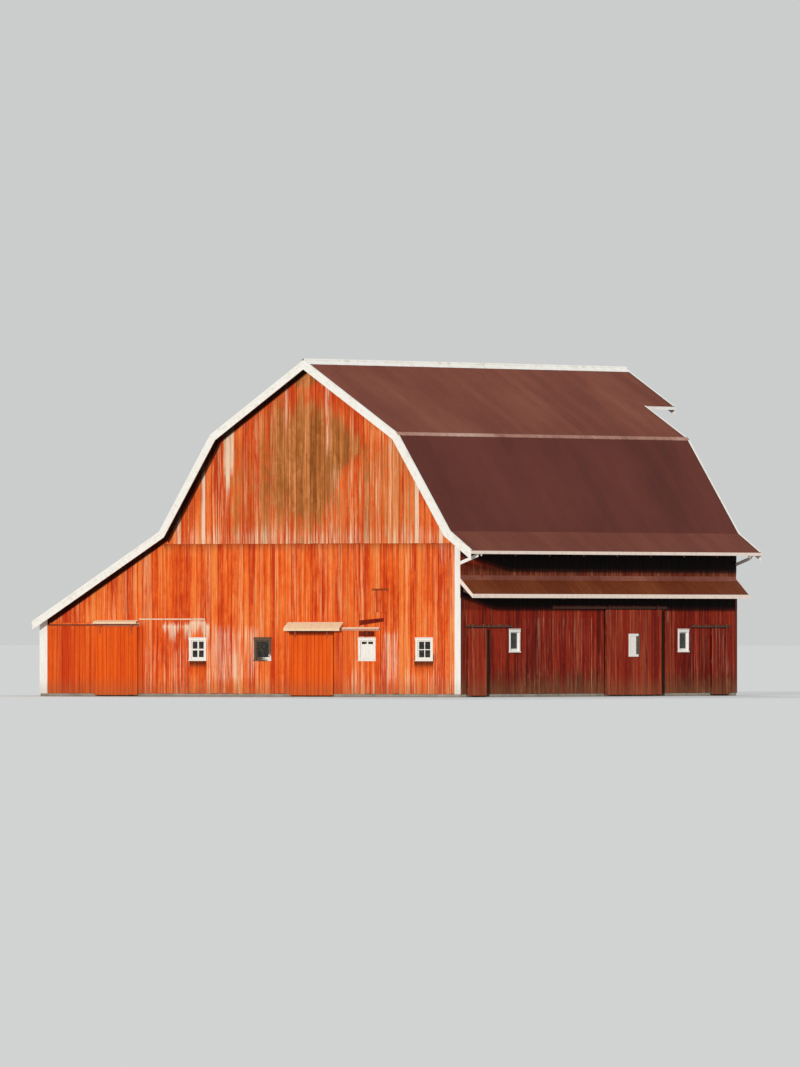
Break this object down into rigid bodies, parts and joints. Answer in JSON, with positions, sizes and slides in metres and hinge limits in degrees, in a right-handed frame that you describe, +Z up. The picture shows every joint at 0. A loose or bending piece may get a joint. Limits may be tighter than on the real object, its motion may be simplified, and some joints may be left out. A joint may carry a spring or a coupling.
{
  "type": "barn",
  "caption": "Hollow timber barn with a gambrel roof, lean-to aisle, pent roof, hay hood, framed windows and sliding doors on rails.",
  "frame": {"origin": "centre of the bounding box's base, on the ground", "axes": "+Y along the ridge from the front gable to the hay hood, +X towards the side with the pent roof, +Z up"},
  "size_m": [18.4, 21.4, 11.7676],
  "materials": {
    "red_boards": "weathered barn paint",
    "weathered_boards": "worn to bare grey wood",
    "door_boards": "matt paint",
    "white_trim": "weathered white paint",
    "white_metal": "satin",
    "roof_metal": "satin brown paint",
    "frame_timber": "rough sawn",
    "concrete": "cast, weathered",
    "rail_metal": "dull",
    "glass": "dusty"
  },
  "bodies": {
    "barn": {"foundation": "concrete", "door_sills": "concrete", "front_wall": "red_boards", "front_wall_over_door": "red_boards", "front_gable": "weathered_boards", "lean_to_front_wall": "red_boards", "lean_to_wall_over_door": "red_boards", "right_wall": "red_boards", "right_wall_over_doors": "red_boards", "left_wall": "red_boards", "rear_wall": "red_boards", "rear_gable": "weathered_boards", "lean_to_rear_wall": "red_boards", "posts": "frame_timber", "frame_beams": "frame_timber", "rafters": "frame_timber", "purlins": "frame_timber", "upper_roof_right": "roof_metal", "upper_roof_left": "roof_metal", "lower_roof_right": "roof_metal", "lower_roof_left": "roof_metal", "eave_roof_right": "roof_metal", "lean_to_roof": "roof_metal", "hay_hood_roof": "roof_metal", "hay_hood_beam": "frame_timber", "pent_roof": "roof_metal", "pent_brackets": "frame_timber", "pent_trim": "white_trim", "ridge_cap": "white_metal", "roof_flashings": "roof_metal", "front_rake_boards": "white_trim", "rear_rake_boards": "white_trim", "eave_fascias": "white_trim", "eave_brackets": "white_trim", "corner_boards": "white_trim", "window_frames": "white_trim", "window_glass": "glass", "hay_door": "door_boards", "rear_door": "door_boards", "door_frames": "white_trim", "door_rails": "rail_metal", "door_hoods": "white_trim"},
    "front_door": {"front_door": "door_boards"},
    "lean_to_door": {"lean_to_door": "door_boards"},
    "side_front_door": {"side_front_door": "door_boards"},
    "big_side_door": {"big_side_door": "door_boards", "big_door_window": "white_trim"},
    "side_rear_door": {"side_rear_door": "door_boards"}
  },
  "joints": [
    {"name": "front_door_slide", "type": "slide", "parent": "barn", "child": "front_door", "axis": [1, 0, 0], "range_m": [0, 1.86]},
    {"name": "lean_to_door_slide", "type": "slide", "parent": "barn", "child": "lean_to_door", "axis": [-1, 0, 0], "range_m": [0, 1.86]},
    {"name": "side_front_door_slide", "type": "slide", "parent": "barn", "child": "side_front_door", "axis": [0, 1, 0], "range_m": [0, 1.61]},
    {"name": "big_side_door_slide", "type": "slide", "parent": "barn", "child": "big_side_door", "axis": [0, -1, 0], "range_m": [-0.37, 3.44]},
    {"name": "side_rear_door_slide", "type": "slide", "parent": "barn", "child": "side_rear_door", "axis": [0, -1, 0], "range_m": [0, 1.28]}
  ]
}
